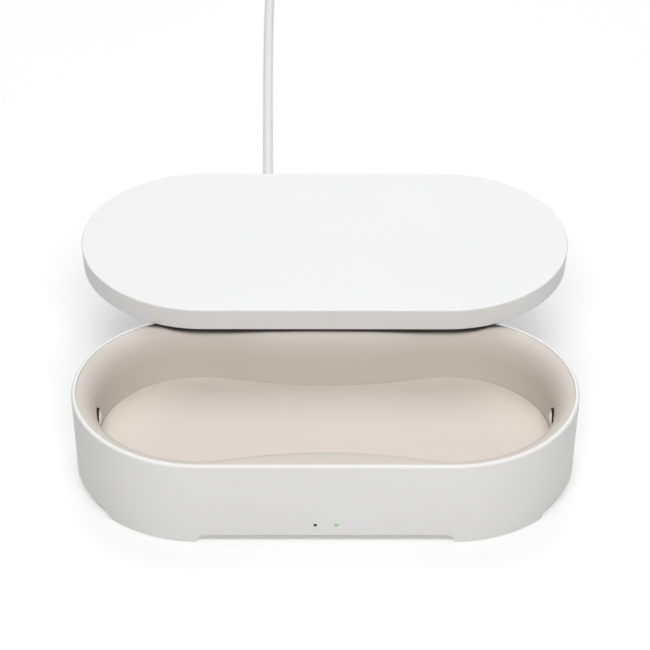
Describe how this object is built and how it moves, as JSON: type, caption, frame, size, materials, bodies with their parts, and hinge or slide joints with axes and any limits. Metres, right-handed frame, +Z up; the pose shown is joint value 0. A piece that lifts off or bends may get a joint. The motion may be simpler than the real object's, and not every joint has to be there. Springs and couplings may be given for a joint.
{
  "type": "uv phone sanitizer box",
  "caption": "Stadium-shaped ultraviolet sanitizer box for phones: soft-edged chamber with end lamp windows, flat lid laid back over the rear rim, status lights and a USB-C cord.",
  "frame": {"origin": "bottom centre of box and lid together as they stand, on the surface under the rubber feet; the box's own centre is 51.65 mm in front of it and the laid-back lid's centre 51.65 mm behind it", "axes": "+X along the box's length to the right as seen from the front, +Y to the rear where the cord leaves, +Z up"},
  "size_m": [0.2304, 0.5642, 0.0548],
  "materials": {
    "shell_white": "satin white moulding",
    "liner_cream": "fine matte, warm off-white",
    "pad_cream": "fine matte, warm off-white",
    "plate_white": "matte white",
    "foot_rubber": "soft light grey rubber",
    "screw_steel": "zinc plated",
    "board_green": "solder mask on glass-fibre board",
    "chip_black": "moulded epoxy",
    "led_body": "ceramic and resin lamp package",
    "inlet_steel": "drawn steel, nickel plated",
    "coil_copper": "enamelled copper wire, wound flat",
    "ferrite_grey": "sintered ferrite",
    "magnet_nickel": "nickel plated magnet",
    "lens_glass": "quartz dome, slightly milky",
    "gasket_black": "black rubber ring",
    "panel_black": "black panel under the lid",
    "board_metal": "metal-core board",
    "light_dark": "dark light guide, off",
    "light_green": "green light guide, lit",
    "button_white": "satin white moulding",
    "lid_white": "satin white moulding",
    "cord_plug_white": "moulded white thermoplastic",
    "cord_white": "soft white cord jacket"
  },
  "bodies": {
    "base": {"base_shell": "shell_white", "chamber_liner": "liner_cream", "charging_pad": "pad_cream", "base_plate": "plate_white", "rubber_feet": "foot_rubber", "case_screws": "screw_steel", "main_board": "board_green", "status_board": "board_green", "board_screws": "screw_steel", "board_chips": "chip_black", "status_leds": "led_body", "usb_c_socket": "inlet_steel", "charging_coil": "coil_copper", "ferrite_sheet": "ferrite_grey", "lid_sensor": "board_green", "base_magnets": "magnet_nickel", "uv_screws": "screw_steel", "uv_lens_left": "lens_glass", "uv_lens_right": "lens_glass", "uv_gasket_left": "gasket_black", "uv_gasket_right": "gasket_black", "uv_board_left": "board_metal", "uv_board_right": "board_metal", "uv_chip_left": "led_body", "uv_chip_right": "led_body", "status_light_dark": "light_dark", "status_light_green": "light_green", "tact_switch": "chip_black", "usb_c_grip": "cord_plug_white", "usb_c_tip": "inlet_steel", "power_cable": "cord_white", "cable_tail": "cord_white", "cable_coil": "cord_white", "end_plug_grip": "cord_plug_white", "end_plug_tip": "inlet_steel"},
    "lid": {"lid_cover": "lid_white", "lid_panel": "panel_black", "lid_magnets": "magnet_nickel", "sensor_magnet": "magnet_nickel"},
    "button": {"power_button": "button_white", "switch_plunger": "chip_black"}
  },
  "joints": [
    {"name": "lid_slide", "type": "slide", "parent": "base", "child": "lid", "axis": [0, 1, 0], "range_m": [-0.1033, 0.016]},
    {"name": "power_button_press", "type": "slide", "parent": "base", "child": "button", "axis": [0, -1, 0], "range_m": [0, 0.0005], "stiffness_N_per_m": 800, "springref_m": -0.0003}
  ]
}
